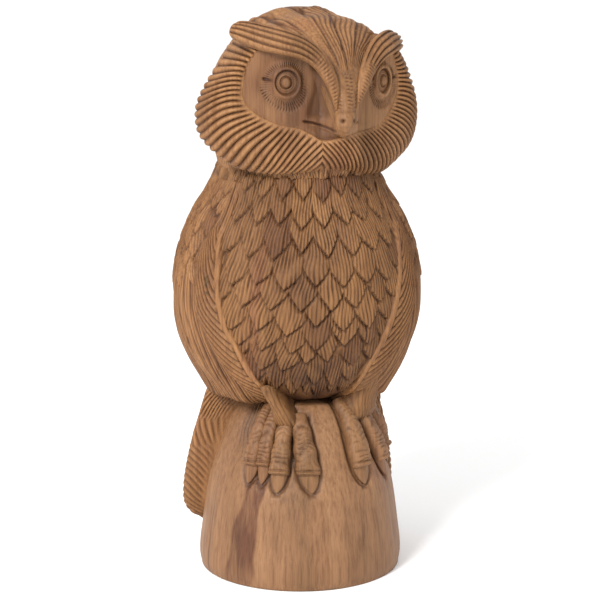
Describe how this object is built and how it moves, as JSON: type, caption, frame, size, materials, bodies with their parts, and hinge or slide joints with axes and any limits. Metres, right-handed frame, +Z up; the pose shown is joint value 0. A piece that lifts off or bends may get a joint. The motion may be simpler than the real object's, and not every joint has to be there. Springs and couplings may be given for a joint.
{
  "type": "carved wooden owl figurine",
  "caption": "Hand-carved wooden owl perched on a domed round post, with horned brows, a ribbed face ruff, scale-cut breast feathers, folded wings, clawed toes and a fan tail down the post.",
  "frame": {"origin": "centre of the post's flat foot, on the surface that it stands on", "axes": "+Z up along the post, -Y the way the breast faces, +X the owl's own left"},
  "size_m": [0.1362, 0.1296, 0.306],
  "materials": {
    "wood_post": "bare sanded and knife-cut softwood, unpainted, matt",
    "wood_body": "bare sanded and knife-cut softwood, unpainted, matt",
    "wood_head": "bare sanded and knife-cut softwood, unpainted, matt",
    "wood_face": "bare sanded and knife-cut softwood, unpainted, matt",
    "wood_wing": "bare sanded and knife-cut softwood, unpainted, matt",
    "wood_feet": "bare sanded and knife-cut softwood, unpainted, matt"
  },
  "bodies": {
    "root": {"post": "wood_post", "torso": "wood_body", "head": "wood_head", "ruff": "wood_head", "face_disc": "wood_face", "bill": "wood_face", "brow_right": "wood_head", "brow_left": "wood_head", "eye_right": "wood_face", "eye_left": "wood_face", "wing_right": "wood_wing", "wing_left": "wood_wing", "tail": "wood_wing", "leg_right": "wood_body", "leg_left": "wood_body", "toes_right": "wood_feet", "toes_left": "wood_feet", "claws_right": "wood_feet", "claws_left": "wood_feet"}
  },
  "joints": []
}
